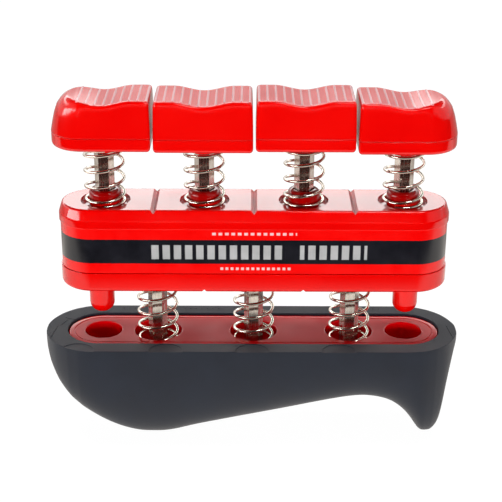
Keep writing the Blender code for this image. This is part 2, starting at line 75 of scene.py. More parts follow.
def edit(obj):
    """Opens a piece for editing with nothing selected."""
    bpy.ops.object.select_all(action="DESELECT")
    bpy.context.view_layer.objects.active = obj
    obj.select_set(True)
    bpy.ops.object.mode_set(mode="EDIT")
    bpy.ops.mesh.select_all(action="DESELECT")


def done():
    bpy.ops.object.mode_set(mode="OBJECT")


def select_faces(obj, test):
    """Selects the faces whose middle and normal pass a test."""
    bpy.ops.mesh.select_mode(type="FACE")
    bpy.ops.mesh.select_all(action="DESELECT")
    bm = bmesh.from_edit_mesh(obj.data)
    for face in bm.faces:
        if test(face.calc_center_median(), face.normal):
            face.select_set(True)
    bmesh.update_edit_mesh(obj.data)


def select_edges(obj, test):
    """Selects the edges whose two ends and neighbouring normals pass a test."""
    bpy.ops.mesh.select_mode(type="EDGE")
    bpy.ops.mesh.select_all(action="DESELECT")
    bm = bmesh.from_edit_mesh(obj.data)
    bm.normal_update()
    for edge in bm.edges:
        normals = [face.normal for face in edge.link_faces]
        if len(normals) == 2 and test(edge.verts[0].co, edge.verts[1].co, *normals):
            edge.select_set(True)
    bmesh.update_edit_mesh(obj.data)


def select_points(obj, test):
    """Selects the points whose place passes a test."""
    bpy.ops.mesh.select_mode(type="VERT")
    bpy.ops.mesh.select_all(action="DESELECT")
    bm = bmesh.from_edit_mesh(obj.data)
    for vert in bm.verts:
        if test(vert.co):
            vert.select_set(True)
    bm.select_flush(True)
    bmesh.update_edit_mesh(obj.data)


def sharp(a, b, n1, n2, degrees=35.0):
    return n1.angle(n2, 0.0) > math.radians(degrees)


def round_edges(obj, width, segments, test, profile=0.5, clamp=True):
    """Rounds the edges that pass a test."""
    select_edges(obj, test)
    bpy.ops.mesh.bevel(offset_type="OFFSET", offset=width, segments=segments,
                       profile=profile, affect="EDGES", clamp_overlap=clamp)


def modify(obj, kind, **settings):
    """Adds a modifier to a piece and applies it."""
    bpy.ops.object.select_all(action="DESELECT")
    bpy.context.view_layer.objects.active = obj
    obj.select_set(True)
    bpy.ops.object.modifier_add(type=kind)
    modifier = obj.modifiers[-1]
    for key, value in settings.items():
        setattr(modifier, key, value)
    bpy.ops.object.modifier_apply(modifier=modifier.name)


def carve(obj, cutter, operation="DIFFERENCE"):
    """Cuts a shape out of a piece, or joins it on, and drops the cutter."""
    modify(obj, "BOOLEAN", object=cutter, operation=operation, solver="EXACT")
    bpy.data.objects.remove(cutter, do_unlink=True)


def stadium(name, half_length, half_width, low, high, x=0.0, steps=96):
    """Block with half-round ends: a cylinder whose two halves are pulled apart."""
    bpy.ops.mesh.primitive_cylinder_add(
        vertices=steps, radius=half_width, depth=high - low,
        location=(0.0, 0.0, (low + high) / 2.0))
    bpy.ops.object.transform_apply(location=True, rotation=True, scale=True)
    obj = start(name)
    for side in (-1.0, 1.0):
        select_points(obj, lambda co: co.x * side > 0.001)
        bpy.ops.transform.translate(value=(side * (half_length - half_width), 0.0, 0.0))
    bpy.ops.mesh.select_all(action="SELECT")
    bpy.ops.transform.translate(value=(x, 0.0, 0.0))
    done()
    return obj


def finish_piece(obj, body, material, nodes, smooth=32.0, weighted=True):
    """Millimetres to metres, smooth shading, material, and its place in the frame."""
    bpy.ops.object.select_all(action="DESELECT")
    bpy.context.view_layer.objects.active = obj
    obj.select_set(True)
    obj.scale = (MM, MM, MM)
    bpy.ops.object.transform_apply(location=True, rotation=True, scale=True)
    bpy.ops.object.shade_smooth_by_angle(angle=math.radians(smooth))
    if weighted:
        modify(obj, "WEIGHTED_NORMAL", keep_sharp=True, weight=100)
    obj.data.materials.clear()
    obj.data.materials.append(material)
    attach(obj, body)
    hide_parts(*nodes)
    return obj


def nodes_of(name):
    """New node material: its tree and its Principled shader."""
    material = bpy.data.materials.new(name)
    material.use_nodes = True
    tree = material.node_tree
    return material, tree, tree.nodes["Principled BSDF"]


def node(tree, kind, links=(), **settings):
    """Adds a node, sets its properties and inputs, and links what feeds it."""
    new = tree.nodes.new(kind)
    for key, value in settings.items():
        if key.startswith("in_"):
            new.inputs[int(key[3:])].default_value = value
        else:
            setattr(new, key, value)
    for slot, source in links:
        tree.links.new(source, new.inputs[slot])
    return new


def coords(tree):
    """The piece's own coordinates, in metres."""
    return node(tree, "ShaderNodeTexCoord").outputs["Object"]


def noise(tree, place, scale, detail):
    """Noise pattern's value at a place."""
    return node(tree, "ShaderNodeTexNoise", [("Vector", place)],
                in_2=scale, in_3=detail).outputs["Fac"]


def dress(tree, shader, colour, rough, height=None, strength=0.0, depth=0.0):
    """Gives a shader its colour and roughness, and a fine relief if there is one."""
    tree.links.new(colour, shader.inputs["Base Color"])
    tree.links.new(rough, shader.inputs["Roughness"])
    if height is not None:
        bump = node(tree, "ShaderNodeBump", [("Height", height)], in_0=strength, in_1=depth)
        tree.links.new(bump.outputs["Normal"], shader.inputs["Normal"])


def ramp(tree, source, stops):
    """Colour ramp between (place, grey or colour) stops."""
    new = node(tree, "ShaderNodeValToRGB", [("Fac", source)])
    elements = new.color_ramp.elements
    while len(elements) < len(stops):
        elements.new(0.5)
    for element, (place, value) in zip(elements, stops):
        element.position = place
        element.color = (*(value if isinstance(value, tuple) else (value,) * 3), 1.0)
    return new.outputs["Color"]


def grip_rubber():
    """Matt charcoal rubber: moulded grain, faint mottling and a greyer bloom."""
    material, tree, shader = nodes_of("grip_rubber")
    place = coords(tree)
    grain = noise(tree, place, 5200.0, 3.0)
    cloud = noise(tree, place, 120.0, 4.0)
    colour = ramp(tree, cloud,
                  [(0.30, (0.010, 0.013, 0.021)), (0.70, (0.015, 0.019, 0.029))])
    rough = ramp(tree, cloud, [(0.25, 0.50), (0.75, 0.62)])
    dress(tree, shader, colour, rough, grain, 0.22, 0.0001)
    shader.inputs["Specular IOR Level"].default_value = 0.28
    shader.inputs["Sheen Weight"].default_value = 0.10
    shader.inputs["Sheen Roughness"].default_value = 0.5
    return material


grip_low, grip_high = span("handle_grip")
grip_top = grip_high.z
grip_half = (grip_high.x - grip_low.x) / 2.0
grip_width = (grip_high.y - grip_low.y) / 2.0
grip_profile = (              # (place along the grip, depth below its top)
    (-53.8, 4.0), (-53.0, 8.0), (-51.0, 13.0), (-47.0, 18.6), (-42.0, 22.7),
    (-37.0, 25.9), (-32.0, 27.9), (-28.0, 28.6), (-23.0, 28.6), (-16.0, 26.8),
    (-4.0, 24.0), (10.0, 20.8), (22.0, 17.9), (29.0, 16.8), (34.0, 17.5),
    (38.0, 19.3), (41.0, 22.0), (43.5, 26.0), (45.0, 28.2), (46.0, 28.6),
    (47.8, 28.6), (49.3, 27.4), (50.3, 24.5), (51.1, 17.0), (52.4, 8.5),
    (53.3, 4.5), (53.8, 3.0),
)


def grip_slope(i):
    """Slope of the smooth profile at one of its points: flat where it turns."""
    if i in (0, len(grip_profile) - 1):
        i = min(max(i, 1), len(grip_profile) - 2)
    (x0, d0), (x1, d1), (x2, d2) = grip_profile[i - 1:i + 2]
    before, after = (d1 - d0) / (x1 - x0), (d2 - d1) / (x2 - x1)
    return 2.0 * before * after / (before + after) if before * after > 0.0 else 0.0


def grip_depth(x):
    """Depth of the smooth profile at a place along the grip."""
    for i, ((x0, d0), (x1, d1)) in enumerate(zip(grip_profile, grip_profile[1:])):
        if x <= x1:
            t, reach = (x - x0) / (x1 - x0), x1 - x0
            return (d0 * (1.0 + 2.0 * t) * (1.0 - t) ** 2 + d1 * (3.0 - 2.0 * t) * t * t
                    + grip_slope(i) * reach * t * (1.0 - t) ** 2
                    + grip_slope(i + 1) * reach * (t - 1.0) * t * t)
    return grip_profile[-1][1]


def grip_half_width(x):
    past = max(0.0, abs(x) - (grip_half - grip_width))
    return math.sqrt(max(grip_width ** 2 - past ** 2, 2.4 ** 2))


bpy.ops.object.select_all(action="DESELECT")
bpy.ops.mesh.primitive_plane_add(size=2.0, rotation=(0.0, math.pi / 2.0, 0.0))
bpy.ops.object.transform_apply(location=True, rotation=True, scale=True)
grip = start("grip")
bpy.ops.mesh.select_all(action="SELECT")
bpy.ops.transform.resize(value=(1.0, 1.0, 0.5), center_override=(0.0, 0.0, 1.0))
bpy.ops.transform.translate(value=(0.0, 0.0, -1.0))
select_points(grip, lambda co: co.z < -0.5)
bpy.ops.mesh.bevel(offset_type="OFFSET", offset=0.97, segments=9, profile=0.61,
                   affect="VERTICES", clamp_overlap=True)
stations = sorted([x for x, _ in grip_profile]
                  + [(a[0] + b[0]) / 2.0 for a, b in zip(grip_profile, grip_profile[1:])
                     if b[0] - a[0] > 3.0]
                  + [side * (grip_half - grip_width
                             + grip_width * math.sin(math.radians(a)))
                     for side in (-1.0, 1.0) for a in (17.0, 32.0, 48.0, 64.0)])
stations = [x for i, x in enumerate(stations) if i == 0 or x - stations[i - 1] > 0.35]
bpy.ops.mesh.select_mode(type="FACE")
bpy.ops.mesh.select_all(action="SELECT")
here, wide, deep = stations[0], 1.0, 1.0
bpy.ops.transform.translate(value=(here, 0.0, 0.0))
for x in stations:
    if x != stations[0]:
        bpy.ops.mesh.extrude_region_move(
            TRANSFORM_OT_translate={"value": (x - here, 0.0, 0.0)})
    bpy.ops.transform.resize(
        value=(1.0, grip_half_width(x) / wide, grip_depth(x) / deep),
        center_override=(x, 0.0, 0.0))
    here, wide, deep = x, grip_half_width(x), grip_depth(x)
bpy.ops.mesh.select_all(action="SELECT")
bpy.ops.transform.translate(value=(0.0, 0.0, grip_top))
bpy.ops.mesh.normals_make_consistent(inside=False)
round_edges(grip, 0.9, 3, lambda a, b, n1, n2: min(a.z, b.z) > grip_top - 0.01
            and max(n1.z, n2.z) > 0.9 and min(n1.z, n2.z) < 0.5)
done()
modify(grip, "SUBSURF", levels=2, render_levels=2)

plate_low, plate_high = span("base_plate")
plate_half = (plate_high.x - plate_low.x) / 2.0
plate_width = (plate_high.y - plate_low.y) / 2.0
row_x = (plate_high.x + plate_low.x) / 2.0
carve(grip, stadium("grip_pocket", plate_half + 0.3, plate_width + 0.3,
                    plate_low.z - 0.3, grip_top + 1.0, row_x))
edit(grip)
round_edges(grip, 0.22, 2, lambda a, b, n1, n2: min(a.z, b.z) > grip_top - 0.02
            and sharp(a, b, n1, n2, 60.0))
done()


def rim_mark(x, y, long, wide, turn=0.0, sides=4):
    """Shallow cutter over the rim: a thin bar, or a disc if it has many sides."""
    bpy.ops.mesh.primitive_cylinder_add(vertices=sides, radius=math.sqrt(0.5), depth=1.0,
                                        rotation=(0.0, 0.0, math.pi / sides))
    mark = bpy.context.object
    bpy.ops.object.transform_apply(location=True, rotation=True, scale=True)
    mark.scale, mark.rotation_euler.z = (long, wide, 1.0), math.radians(turn)
    mark.location = (x, y, grip_top + 0.38)
    bpy.ops.object.transform_apply(location=True, rotation=True, scale=True)
    return mark


for x in (-44.5, -21.9, 0.1, 22.2):
    carve(grip, rim_mark(x, -13.6, 6.2, 6.2, sides=48))
for x, y, long, wide, turn in ((-51.6, -3.0, 7.0, 0.22, 82.0), (-49.6, 3.0, 3.4, 0.22, 66.0),
                               (-48.3, 5.2, 3.0, 0.22, -24.0), (51.9, -2.0, 7.0, 0.22, 97.0)):
    carve(grip, rim_mark(x, y, long, wide, turn))
for place in [-34.6 + 1.5 * n for n in range(6)] + [-18.0 + 1.5 * n for n in range(7)] \
        + [27.0 + 1.5 * n for n in range(6)]:
    carve(grip, rim_mark(place, 11.2, 1.7, 0.24, 90.0))
rubber = grip_rubber()
finish_piece(grip, "handle", rubber, ["handle_grip"], smooth=40.0)


# ---------------------------------------------------------------------------
# Base plate. A hard glossy red moulding pressed into the grip: a shallow line runs
# round inside its edge, two round holes take the body's pegs, and three round wells
# hold the lower springs. Each shaft stands in a hexagonal seat in a well's floor.

def maths(tree, operation, a, b=0.0, **settings):
    """Maths node on two inputs, each a socket or a number."""
    new = node(tree, "ShaderNodeMath", operation=operation, **settings)
    for slot, value in enumerate((a, b)):
        if isinstance(value, float):
            new.inputs[slot].default_value = value
        else:
            tree.links.new(value, new.inputs[slot])
    return new.outputs[0]


def moulded_red(name, low, high):
    """Glossy red plastic: deep colour, faint flow marks, light orange peel."""
    material, tree, shader = nodes_of(name)
    place = coords(tree)
    flow = noise(tree, place, 70.0, 3.0)
    peel = noise(tree, place, 900.0, 2.0)
    fine = noise(tree, place, 9000.0, 2.0)
    colour = ramp(tree, flow, [(0.25, low), (0.75, high)])
    rough = ramp(tree, flow, [(0.30, 0.07), (0.70, 0.13)])
    height = maths(tree, "MULTIPLY", peel, fine)
    dress(tree, shader, colour, rough, height, 0.03, 0.00004)
    shader.inputs["IOR"].default_value = 1.5
    return material


def round_pin(name, radius, low, high, x, steps=64):
    """Plain round cutter or post to be shaped further."""
    bpy.ops.mesh.primitive_cylinder_add(vertices=steps, radius=radius, depth=high - low,
                                        location=(x, 0.0, (low + high) / 2.0))
    bpy.ops.object.transform_apply(location=True, rotation=True, scale=True)
    bpy.context.object.name = name
    return bpy.context.object


def hex_bar(name, flats, low, high, x):
    """Hexagonal bar with flat faces to the front and back."""
    bpy.ops.mesh.primitive_cylinder_add(
        vertices=6, radius=flats / math.sqrt(3.0), depth=high - low,
        location=(x, 0.0, (low + high) / 2.0), rotation=(0.0, 0.0, math.pi / 6.0))
    bpy.ops.object.transform_apply(location=True, rotation=True, scale=True)
    bpy.context.object.name = name
    return bpy.context.object


def joined(objs):
    """Makes one object of several that don't touch."""
    bpy.ops.object.select_all(action="DESELECT")
    for obj in objs:
        obj.select_set(True)
    bpy.context.view_layer.objects.active = objs[0]
    bpy.ops.object.join()
    return objs[0]


def middle_x(cad_node):
    low, high = span(cad_node)
    return (low.x + high.x) / 2.0


base_xs = [middle_x("base_shaft_%d" % n) for n in (1, 2, 3)]
finger_xs = [middle_x("finger_shaft_%d" % n) for n in (1, 2, 3, 4)]
peg_offset = 1.9              # each peg stands this far outside an outer finger shaft
peg_xs = [finger_xs[0] - peg_offset, finger_xs[3] + peg_offset]
shaft_flats = 4.35
socket_flats = shaft_flats + 0.6
plate_top = plate_high.z
well_floor = plate_top - 3.5
peg_floor = 23.3
peg_hole_radius, well_radius, head_radius = 4.84, 6.14, 3.9
line_margin, line_side, line_floor, line_depth = 1.0, 0.10, 0.22, 0.20

plate = stadium("plate", plate_half, plate_width, plate_low.z, plate_top, row_x)
edit(plate)
round_edges(plate, 0.35, 3, lambda a, b, n1, n2: min(a.z, b.z) > plate_top - 0.01
            and sharp(a, b, n1, n2))
select_faces(plate, lambda co, n: n.z > 0.99 and co.z > plate_top - 0.01)
bpy.ops.mesh.inset(thickness=line_margin)
bpy.ops.mesh.inset(thickness=line_side, depth=-line_depth)
bpy.ops.mesh.inset(thickness=line_floor)
bpy.ops.mesh.inset(thickness=line_side, depth=line_depth)
done()
carve(plate, joined([round_pin("hole", peg_hole_radius, peg_floor, plate_top + 1.0, x)
                     for x in peg_xs]
                    + [round_pin("well", well_radius, well_floor, plate_top + 1.0, x)
                       for x in base_xs]))
carve(plate, joined([hex_bar("seat", socket_flats, plate_low.z - 1.0, plate_top - 2.0, x)
                     for x in base_xs]))
carve(plate, joined([round_pin("head_seat", head_radius, plate_low.z - 1.0,
                               plate_low.z + 1.8, x) for x in base_xs]))
edit(plate)
round_edges(plate, 0.25, 3, lambda a, b, n1, n2: min(a.z, b.z) > plate_top - 0.01
            and min(abs(n1.z), abs(n2.z)) < 0.1 and max(n1.z, n2.z) > 0.99
            and abs(a.y) < 7.0)
done()
deep_red = moulded_red("deep_red", (0.76, 0.0, 0.002), (0.86, 0.001, 0.004))
finish_piece(plate, "handle", deep_red, ["base_plate"])


# ---------------------------------------------------------------------------
# Base shafts. Three lengths of drawn hexagonal steel bar, each with a head under the
# plate and a turned neck for its clip inside the body. The bar's corners are eased.

def drawn_steel():
    """Drawn steel bar: fine lines along its length, with faint dull patches."""
    material, tree, shader = nodes_of("drawn_steel")
    place = coords(tree)
    along = node(tree, "ShaderNodeMapping", [("Vector", place)], in_3=(1.0, 1.0, 0.02))
    lines = noise(tree, along.outputs[0], 7000.0, 2.0)
    patch = noise(tree, place, 400.0, 3.0)
    colour = ramp(tree, patch,
                  [(0.30, (0.60, 0.55, 0.50)), (0.70, (0.76, 0.71, 0.65))])
    rough = ramp(tree, lines, [(0.30, 0.16), (0.70, 0.28)])
    dress(tree, shader, colour, rough, lines, 0.08, 0.00004)
    shader.inputs["Metallic"].default_value = 1.0
    return material


neck_depth = 0.55
clip_room = 0.45              # the neck runs this far past its clip at each end
head_height, head_reach = 1.5, 0.9


def necked_bar(name, low, high, neck_low, neck_high):
    """Hexagonal bar with eased corners and a neck, standing at x = 0."""
    bar = hex_bar(name, shaft_flats, low, high, 0.0)
    edit(bar)
    round_edges(bar, 0.13, 3, lambda a, b, n1, n2: abs(a.z - b.z) > 1.0)
    round_edges(bar, 0.25, 2, lambda a, b, n1, n2: max(abs(n1.z), abs(n2.z)) > 0.9)
    for z in (neck_low, neck_high):
        bpy.ops.mesh.select_all(action="SELECT")
        bpy.ops.mesh.bisect(plane_co=(0.0, 0.0, z), plane_no=(0.0, 0.0, 1.0))
    select_faces(bar, lambda co, n: neck_low < co.z < neck_high and abs(n.z) < 0.1)
    bpy.ops.mesh.extrude_region_shrink_fatten(
        TRANSFORM_OT_shrink_fatten={"value": -neck_depth})
    done()
    return bar


def placed_copy(obj, name, x, z=0.0):
    """Copy with its own mesh, moved into place inside the mesh."""
    bpy.ops.object.select_all(action="DESELECT")
    bpy.context.view_layer.objects.active = obj
    obj.select_set(True)
    bpy.ops.object.duplicate(linked=False)
    copy = bpy.context.object
    copy.name = name
    edit(copy)
    bpy.ops.mesh.select_all(action="SELECT")
    bpy.ops.transform.translate(value=(x, 0.0, z))
    done()
    return copy


steel = drawn_steel()
shaft_low, shaft_high = span("base_shaft_1")
clip_low, clip_high = span("base_clip_1")
first_shaft = necked_bar("base_bar", shaft_low.z, shaft_high.z,
                         clip_low.z - clip_room, clip_high.z + clip_room)
edit(first_shaft)
bpy.ops.mesh.select_all(action="SELECT")
bpy.ops.mesh.bisect(plane_co=(0.0, 0.0, shaft_low.z + head_height), plane_no=(0.0, 0.0, 1.0))
select_faces(first_shaft, lambda co, n: co.z < shaft_low.z + head_height and abs(n.z) < 0.8)
bpy.ops.mesh.extrude_region_shrink_fatten(
    TRANSFORM_OT_shrink_fatten={"value": head_reach})
done()
for number, x in enumerate(base_xs, 1):
    shaft = placed_copy(first_shaft, "shaft_base_%d" % number, x)
    finish_piece(shaft, "handle", steel, ["base_shaft_%d" % number])
bpy.data.objects.remove(first_shaft, do_unlink=True)


# ---------------------------------------------------------------------------
# Springs. Bright nickel-plated music wire, wound right-handed with closed end turns.
# Three stand in the plate's wells, four on the body round its guide bosses.

def plated_wire():
    """Bright nickel plating over drawn wire, a little dulled in places."""
    material, tree, shader = nodes_of("plated_wire")
    place = coords(tree)
    tone = noise(tree, place, 500.0, 3.0)
    colour = ramp(tree, tone,
                  [(0.30, (0.70, 0.62, 0.54)), (0.70, (0.86, 0.79, 0.70))])
    rough = ramp(tree, tone, [(0.30, 0.10), (0.70, 0.20)])
    fine = noise(tree, place, 6000.0, 2.0)
    dress(tree, shader, colour, rough, fine, 0.06, 0.00003)
    shader.inputs["Metallic"].default_value = 1.0
    return material


wire = 0.8
end_pitch = 1.2               # rise of each closed end turn
turn_steps = 28
base_coil, finger_coil = (5.0, 3.93), (4.85, 4.1)     # radius and pitch


def wound_spring(name, cad_node, radius, pitch, begin, body, joint):
    """Winds a spring between its seats by spinning and lifting the wire's section."""
    low, high = span(cad_node)
    x = round((low.x + high.x) / 2.0 * 2.0) / 2.0
    bottom, top = low.z + wire / 2.0, high.z - wire / 2.0
    active = (top - bottom - 2.0 * end_pitch) / pitch
    turns = active + 2.0

    def level(turn):
        return (bottom + min(turn, 1.0) * end_pitch
                + min(max(turn - 1.0, 0.0), active) * pitch
                + max(0.0, turn - 1.0 - active) * end_pitch)

    angle = 2.0 * math.pi * begin
    bpy.ops.object.select_all(action="DESELECT")
    bpy.ops.mesh.primitive_circle_add(
        vertices=12, radius=wire / 2.0, fill_type="NGON",
        location=(x + radius * math.cos(angle), radius * math.sin(angle), bottom),
        rotation=(math.pi / 2.0, 0.0, angle))
    bpy.ops.object.transform_apply(location=True, rotation=True, scale=True)
    spring = start(name)
    bpy.ops.mesh.select_mode(type="FACE")
    bpy.ops.mesh.select_all(action="SELECT")
    count = int(round(turns * turn_steps))
    step = turns / count
    for i in range(count):
        bpy.ops.mesh.spin(steps=1, angle=-2.0 * math.pi * step,
                          center=(x, 0.0, 0.0), axis=(0.0, 0.0, 1.0))
        bpy.ops.transform.translate(
            value=(0.0, 0.0, level((i + 1) * step) - level(i * step)))
    bpy.ops.mesh.select_all(action="SELECT")
    bpy.ops.mesh.normals_make_consistent(inside=False)
    done()
    finish_piece(spring, body, nickel, [cad_node],
                 smooth=70.0, weighted=False)
    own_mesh(spring)
    return spring


nickel = plated_wire()
for number, begin in zip((1, 2, 3), (1.62, 1.86, 1.62)):
    wound_spring("spring_base_%d" % number, "base_spring_%d" % number,
                 *base_coil, begin, "handle", "body_slide")
for number, begin in zip((1, 2, 3, 4), (1.75, 1.71, 1.29, 1.67)):
    wound_spring("spring_finger_%d" % number, "finger_spring_%d" % number,
                 *finger_coil, begin, "body", "finger_%d_slide" % number)


# ---------------------------------------------------------------------------
# Body, lower half. A red moulded tray that closes the sliding body from below, with
# two round-nosed pegs that run into the plate's holes, three guides for the base
# shafts and two small notches in its lower edge.

shell_low, shell_high = span("body_lower_shell")
body_half = (shell_high.x - shell_low.x) / 2.0
body_width = (shell_high.y - shell_low.y) / 2.0
body_x = (shell_high.x + shell_low.x) / 2.0
body_low = 42.9
split = body_low + 4.95
label_inset = 0.95
body_wall = 1.6
bore_flats = shaft_flats + 0.6
peg_radius, peg_nose = 3.24, 2.9
boss_radius = bore_flats / math.sqrt(3.0) + 1.24


def notch(x, z):
    """Square bar on its edge, lying from front to back, that cuts a V-groove."""
    bpy.ops.mesh.primitive_cylinder_add(vertices=4, radius=1.0, depth=40.0,
                                        location=(x, 0.0, z),
                                        rotation=(math.pi / 2.0, 0.0, 0.0))
    bar = bpy.context.object
    bar.scale = (0.75, 0.9, 1.0)
    bpy.ops.object.transform_apply(location=True, rotation=True, scale=True)
    return bar


tray = stadium("lower_shell", body_half, body_width, body_low, split + 0.12, body_x)
edit(tray)
round_edges(tray, 1.1, 6, lambda a, b, n1, n2: max(a.z, b.z) < body_low + 0.01
            and sharp(a, b, n1, n2), clamp=False)
round_edges(tray, 0.12, 2, lambda a, b, n1, n2: min(a.z, b.z) > split
            and sharp(a, b, n1, n2))
done()
carve(tray, stadium("tray_inside", body_half - label_inset - body_wall,
                    body_width - label_inset - body_wall, body_low + 3.0, split + 2.0,
                    body_x))
pegs = []
for x in peg_xs:
    peg = round_pin("peg", peg_radius, shell_low.z, body_low + 1.6, x)
    edit(peg)
    round_edges(peg, peg_nose, 10, lambda a, b, n1, n2: max(a.z, b.z) < shell_low.z + 0.01)
    done()
    pegs.append(peg)
carve(tray, joined(pegs), "UNION")
carve(tray, joined([round_pin("guide", boss_radius, body_low + 2.1, body_low + 6.1, x)
                    for x in base_xs]), "UNION")
carve(tray, joined([round_pin("seat", well_radius, body_low - 1.0, body_low + 1.2, x)
                    for x in base_xs]))
carve(tray, joined([hex_bar("bore", bore_flats, body_low - 2.0, body_low + 8.0, x)
                    for x in base_xs]))
carve(tray, joined([notch(x, body_low) for x in finger_xs[1:3]]))
red = moulded_red("moulded_red", (0.80, 0.0, 0.0), (0.88, 0.001, 0.0))
finish_piece(tray, "body", red, ["body_lower_shell"])


# ---------------------------------------------------------------------------
# Body, upper half. A red moulded cover: a recess for the printed band, a lip above it,
# a sloped shoulder and a flat top with three grooves across it. Four round bosses,
# each in its own ring-shaped recess, guide the finger shafts.

cover_low, cover_high = span("body_upper_shell")
label_top = body_low + 17.1
lip_top = body_low + 19.1
body_top = body_low + 21.9
ceiling = body_top - 3.0
shoulder = 0.9
ring_radius, ring_depth = 6.2, 1.2


def from_axis(co):
    """How far a point stands from the line between the body's two end centres."""
    reach = body_half - body_width
    along = max(min(co.x, body_x + reach), body_x - reach)
    return (Vector((co.x, co.y)) - Vector((along, 0.0))).length


cover = stadium("upper_shell", body_half, body_width, label_top, lip_top, body_x)
edit(cover)
select_faces(cover, lambda co, n: n.z > 0.9)
bpy.ops.mesh.inset(thickness=shoulder, depth=body_top - lip_top)
select_faces(cover, lambda co, n: n.z < -0.9)
bpy.ops.mesh.inset(thickness=label_inset)
bpy.ops.mesh.extrude_region_move(
    TRANSFORM_OT_translate={"value": (0.0, 0.0, cover_low.z - label_top)})
round_edges(cover, 0.45, 4, lambda a, b, n1, n2: min(a.z, b.z) > body_top - 0.01
            and sharp(a, b, n1, n2))
round_edges(cover, 0.30, 3, lambda a, b, n1, n2: abs(a.z - lip_top) < 0.01
            and abs(b.z - lip_top) < 0.01 and sharp(a, b, n1, n2, 12.0))
round_edges(cover, 0.18, 3, lambda a, b, n1, n2: abs(a.z - label_top) < 0.01
            and abs(b.z - label_top) < 0.01 and n1.z * n2.z > -0.01
            and sharp(a, b, n1, n2) and from_axis(a) > body_width - 0.3)
done()
carve(cover, stadium("cover_inside", body_half - label_inset - body_wall,
                     body_width - label_inset - body_wall, cover_low.z - 1.0, ceiling,
                     body_x))
carve(cover, joined([round_pin("ring", ring_radius, body_top - ring_depth, body_top + 1.0, x)
                     for x in finger_xs]))
bosses = []
for x in finger_xs:
    boss = round_pin("boss", boss_radius, ceiling - 2.0, cover_high.z, x)
    edit(boss)
    round_edges(boss, 1.2, 6, lambda a, b, n1, n2: min(a.z, b.z) > cover_high.z - 0.01,
                clamp=False)
    done()
    bosses.append(boss)
carve(cover, joined(bosses), "UNION")
carve(cover, joined([hex_bar("bore", bore_flats, ceiling - 4.0, cover_high.z + 1.0, x)
                     for x in finger_xs]))
carve(cover, joined([notch(x, body_top) for x in base_xs]))
edit(cover)
round_edges(cover, 0.15, 2, lambda a, b, n1, n2: abs(a.z - body_top) < 0.01
            and abs(b.z - body_top) < 0.01 and max(n1.z, n2.z) > 0.99
            and min(abs(n1.z), abs(n2.z)) < 0.1)
done()


def remap(tree, value, low, high, start=0.0, end=1.0, ease="LINEAR"):
    """Carries a value from one range to another, and stops at its ends."""
    return node(tree, "ShaderNodeMapRange", [(0, value)], in_1=low, in_2=high,
                in_3=start, in_4=end, interpolation_type=ease).outputs[0]


def painted_shade_red(above):
    """The same red, darkened above a given height as painted shade under the buttons."""
    material = red.copy()
    material.name = "painted_shade_red"
    tree = material.node_tree
    shader = tree.nodes["Principled BSDF"]
    plain = shader.inputs["Base Color"].links[0].from_socket
    place = coords(tree)
    z = node(tree, "ShaderNodeSeparateXYZ", [(0, place)]).outputs[2]
    high = remap(tree, z, above - 0.0001, above + 0.0001)
    tone = node(tree, "ShaderNodeMix", [(0, high), (6, plain)], data_type="RGBA",
                in_7=(0.32, 0.0, 0.0, 1.0))
    tree.links.new(tone.outputs[2], shader.inputs["Base Color"])
    return material


# The bosses rising above the top get the darker red: painted shade under the buttons.
finish_piece(cover, "body", painted_shade_red((body_top + 0.2) * MM),
             ["body_upper_shell"])


# ---------------------------------------------------------------------------
# Printed band. A thin glossy film wrapped round the body in its recess: a black band
# between two red margins, with a row of plain grey blocks and thin dashes as a
# generic scale in place of any wording.

def printed_film():
    """Red film with a black band; grey blocks and dashes on the front."""
    material, tree, shader = nodes_of("printed_film")
    place = coords(tree)
    parts = node(tree, "ShaderNodeSeparateXYZ", [(0, place)])
    x, y, z = parts.outputs

    def times(a, b):
        return maths(tree, "MULTIPLY", a, b)

    def within(value, low, high, soft=0.00006):
        """1 between two places, with a soft printed edge."""
        return times(remap(tree, value, low - soft, low + soft),
                     remap(tree, value, high + soft, high - soft))

    def marks(low, high, columns, begin, pitch, length):
        """Row of marks between two heights: each length long, one to a pitch."""
        cycle = maths(tree, "WRAP", maths(tree, "SUBTRACT", x, begin), pitch, in_2=0.0)
        return times(times(within(z, low, high), columns),
                     times(within(cycle, 0.00008, length), front))

    front = within(y, -1.0, 0.0)
    band = within(z, 0.05078, 0.05722)
    groups = maths(tree, "ADD", within(x, -0.0252, 0.0084), within(x, 0.0120, 0.0288))
    blocks = marks(0.0520, 0.0558, groups, -0.0252, 0.0028, 0.0019)
    dots = marks(0.0585, 0.0592, within(x, -0.0100, 0.0112), -0.0100, 0.0016, 0.0010)
    line = marks(0.0491, 0.0498, within(x, -0.0080, 0.0098), -0.0080, 0.0013, 0.0008)
    cloud = noise(tree, place, 300.0, 3.0)
    red_print = ramp(tree, cloud,
                     [(0.3, (0.90, 0.0, 0.0)), (0.7, (0.96, 0.002, 0.001))])
    black_print = ramp(tree, cloud,
                       [(0.3, (0.006, 0.007, 0.010)), (0.7, (0.009, 0.010, 0.015))])
    grey_print = ramp(tree, cloud, [(0.3, 0.42), (0.7, 0.50)])
    pale_print = ramp(tree, cloud,
                      [(0.3, (0.90, 0.50, 0.48)), (0.7, (0.90, 0.60, 0.58))])
    colour = red_print
    for mask, ink in ((band, black_print), (blocks, grey_print),
                      (dots, pale_print), (line, pale_print)):
        mix = node(tree, "ShaderNodeMix", [(0, mask), (6, colour), (7, ink)], data_type="RGBA")
        colour = mix.outputs[2]
    rough = ramp(tree, cloud, [(0.3, 0.12), (0.7, 0.20)])
    dress(tree, shader, colour, rough, cloud, 0.04, 0.00003)
    return material


